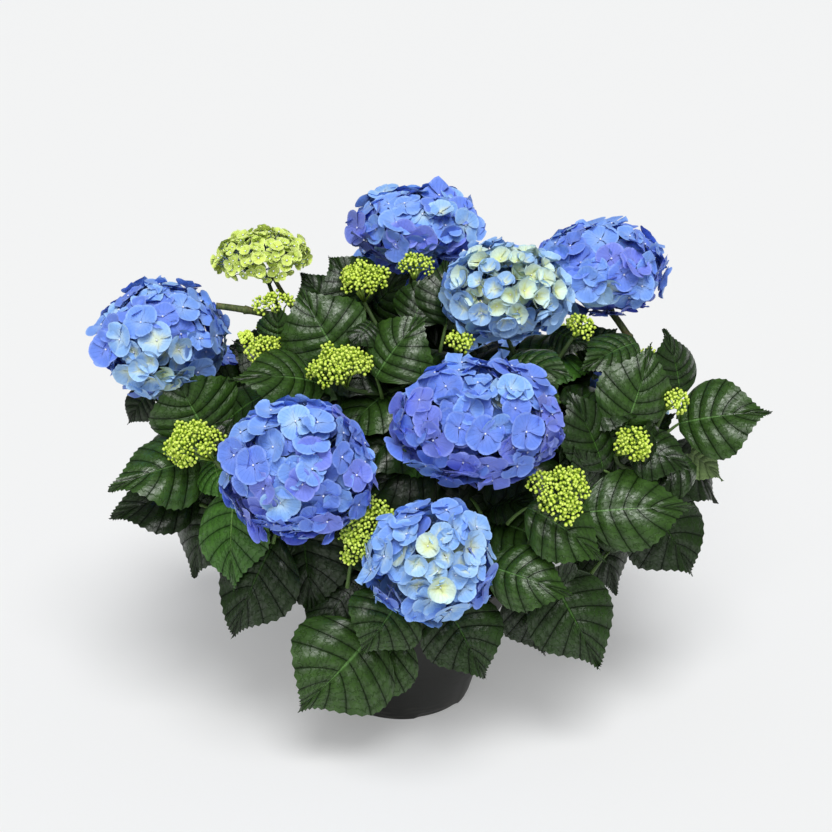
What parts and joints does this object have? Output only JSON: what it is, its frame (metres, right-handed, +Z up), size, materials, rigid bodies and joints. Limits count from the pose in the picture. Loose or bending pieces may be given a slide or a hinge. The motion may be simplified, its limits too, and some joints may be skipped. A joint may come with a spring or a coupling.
{
  "type": "potted mophead hydrangea shrub",
  "caption": "Blue mophead hydrangea with dark quilted leaves and green bud clusters, growing in a round charcoal nursery pot.",
  "frame": {"origin": "centre of the pot's flat underside", "axes": "+Z up, -Y towards the plant's front"},
  "size_m": [0.7027, 0.56, 0.5471],
  "materials": {
    "pot_plastic": "moulded charcoal plastic, satin",
    "compost": "moist fibrous compost",
    "green_cane": "green young bark",
    "leaf": "quilted leaf, waxy sheen",
    "petal_blue": "soft matte petal",
    "petal_violet": "soft matte petal",
    "petal_pale": "soft matte petal",
    "petal_young": "soft matte petal",
    "bud": "waxy green bud"
  },
  "bodies": {
    "root": {"pot": "pot_plastic", "root_ball": "compost", "cane_back": "green_cane", "cane_back_left": "green_cane", "cane_back_right": "green_cane", "cane_front": "green_cane", "cane_front_left": "green_cane", "cane_front_right": "green_cane", "cane_left": "green_cane", "cane_middle": "green_cane", "cane_right": "green_cane", "stalk_left": "green_cane", "stalk_right": "green_cane", "stalk_right_thin": "green_cane", "stalk_young": "green_cane", "leaves_back": "leaf", "leaves_back_left": "leaf", "leaves_back_right": "leaf", "leaves_front": "leaf", "leaves_front_left": "leaf", "leaves_front_right": "leaf", "leaves_heart": "leaf", "leaves_left": "leaf", "leaves_right": "leaf", "leaves_upper_back": "leaf", "leaves_upper_left": "leaf", "leaves_upper_right": "leaf", "bloom_back_left": "petal_violet", "bloom_back_right": "petal_blue", "bloom_back_upper": "petal_blue", "bloom_front": "petal_pale", "bloom_front_left": "petal_blue", "bloom_left": "petal_blue", "bloom_middle": "petal_violet", "bloom_pale": "petal_pale", "bloom_right": "petal_blue", "bloom_side_left": "petal_blue", "bloom_side_right": "petal_pale", "bloom_top": "petal_blue", "bloom_young": "petal_young", "buds_centre": "bud", "buds_front": "bud", "buds_front_right": "bud", "buds_left": "bud", "buds_right": "bud", "buds_top": "bud"}
  },
  "joints": []
}
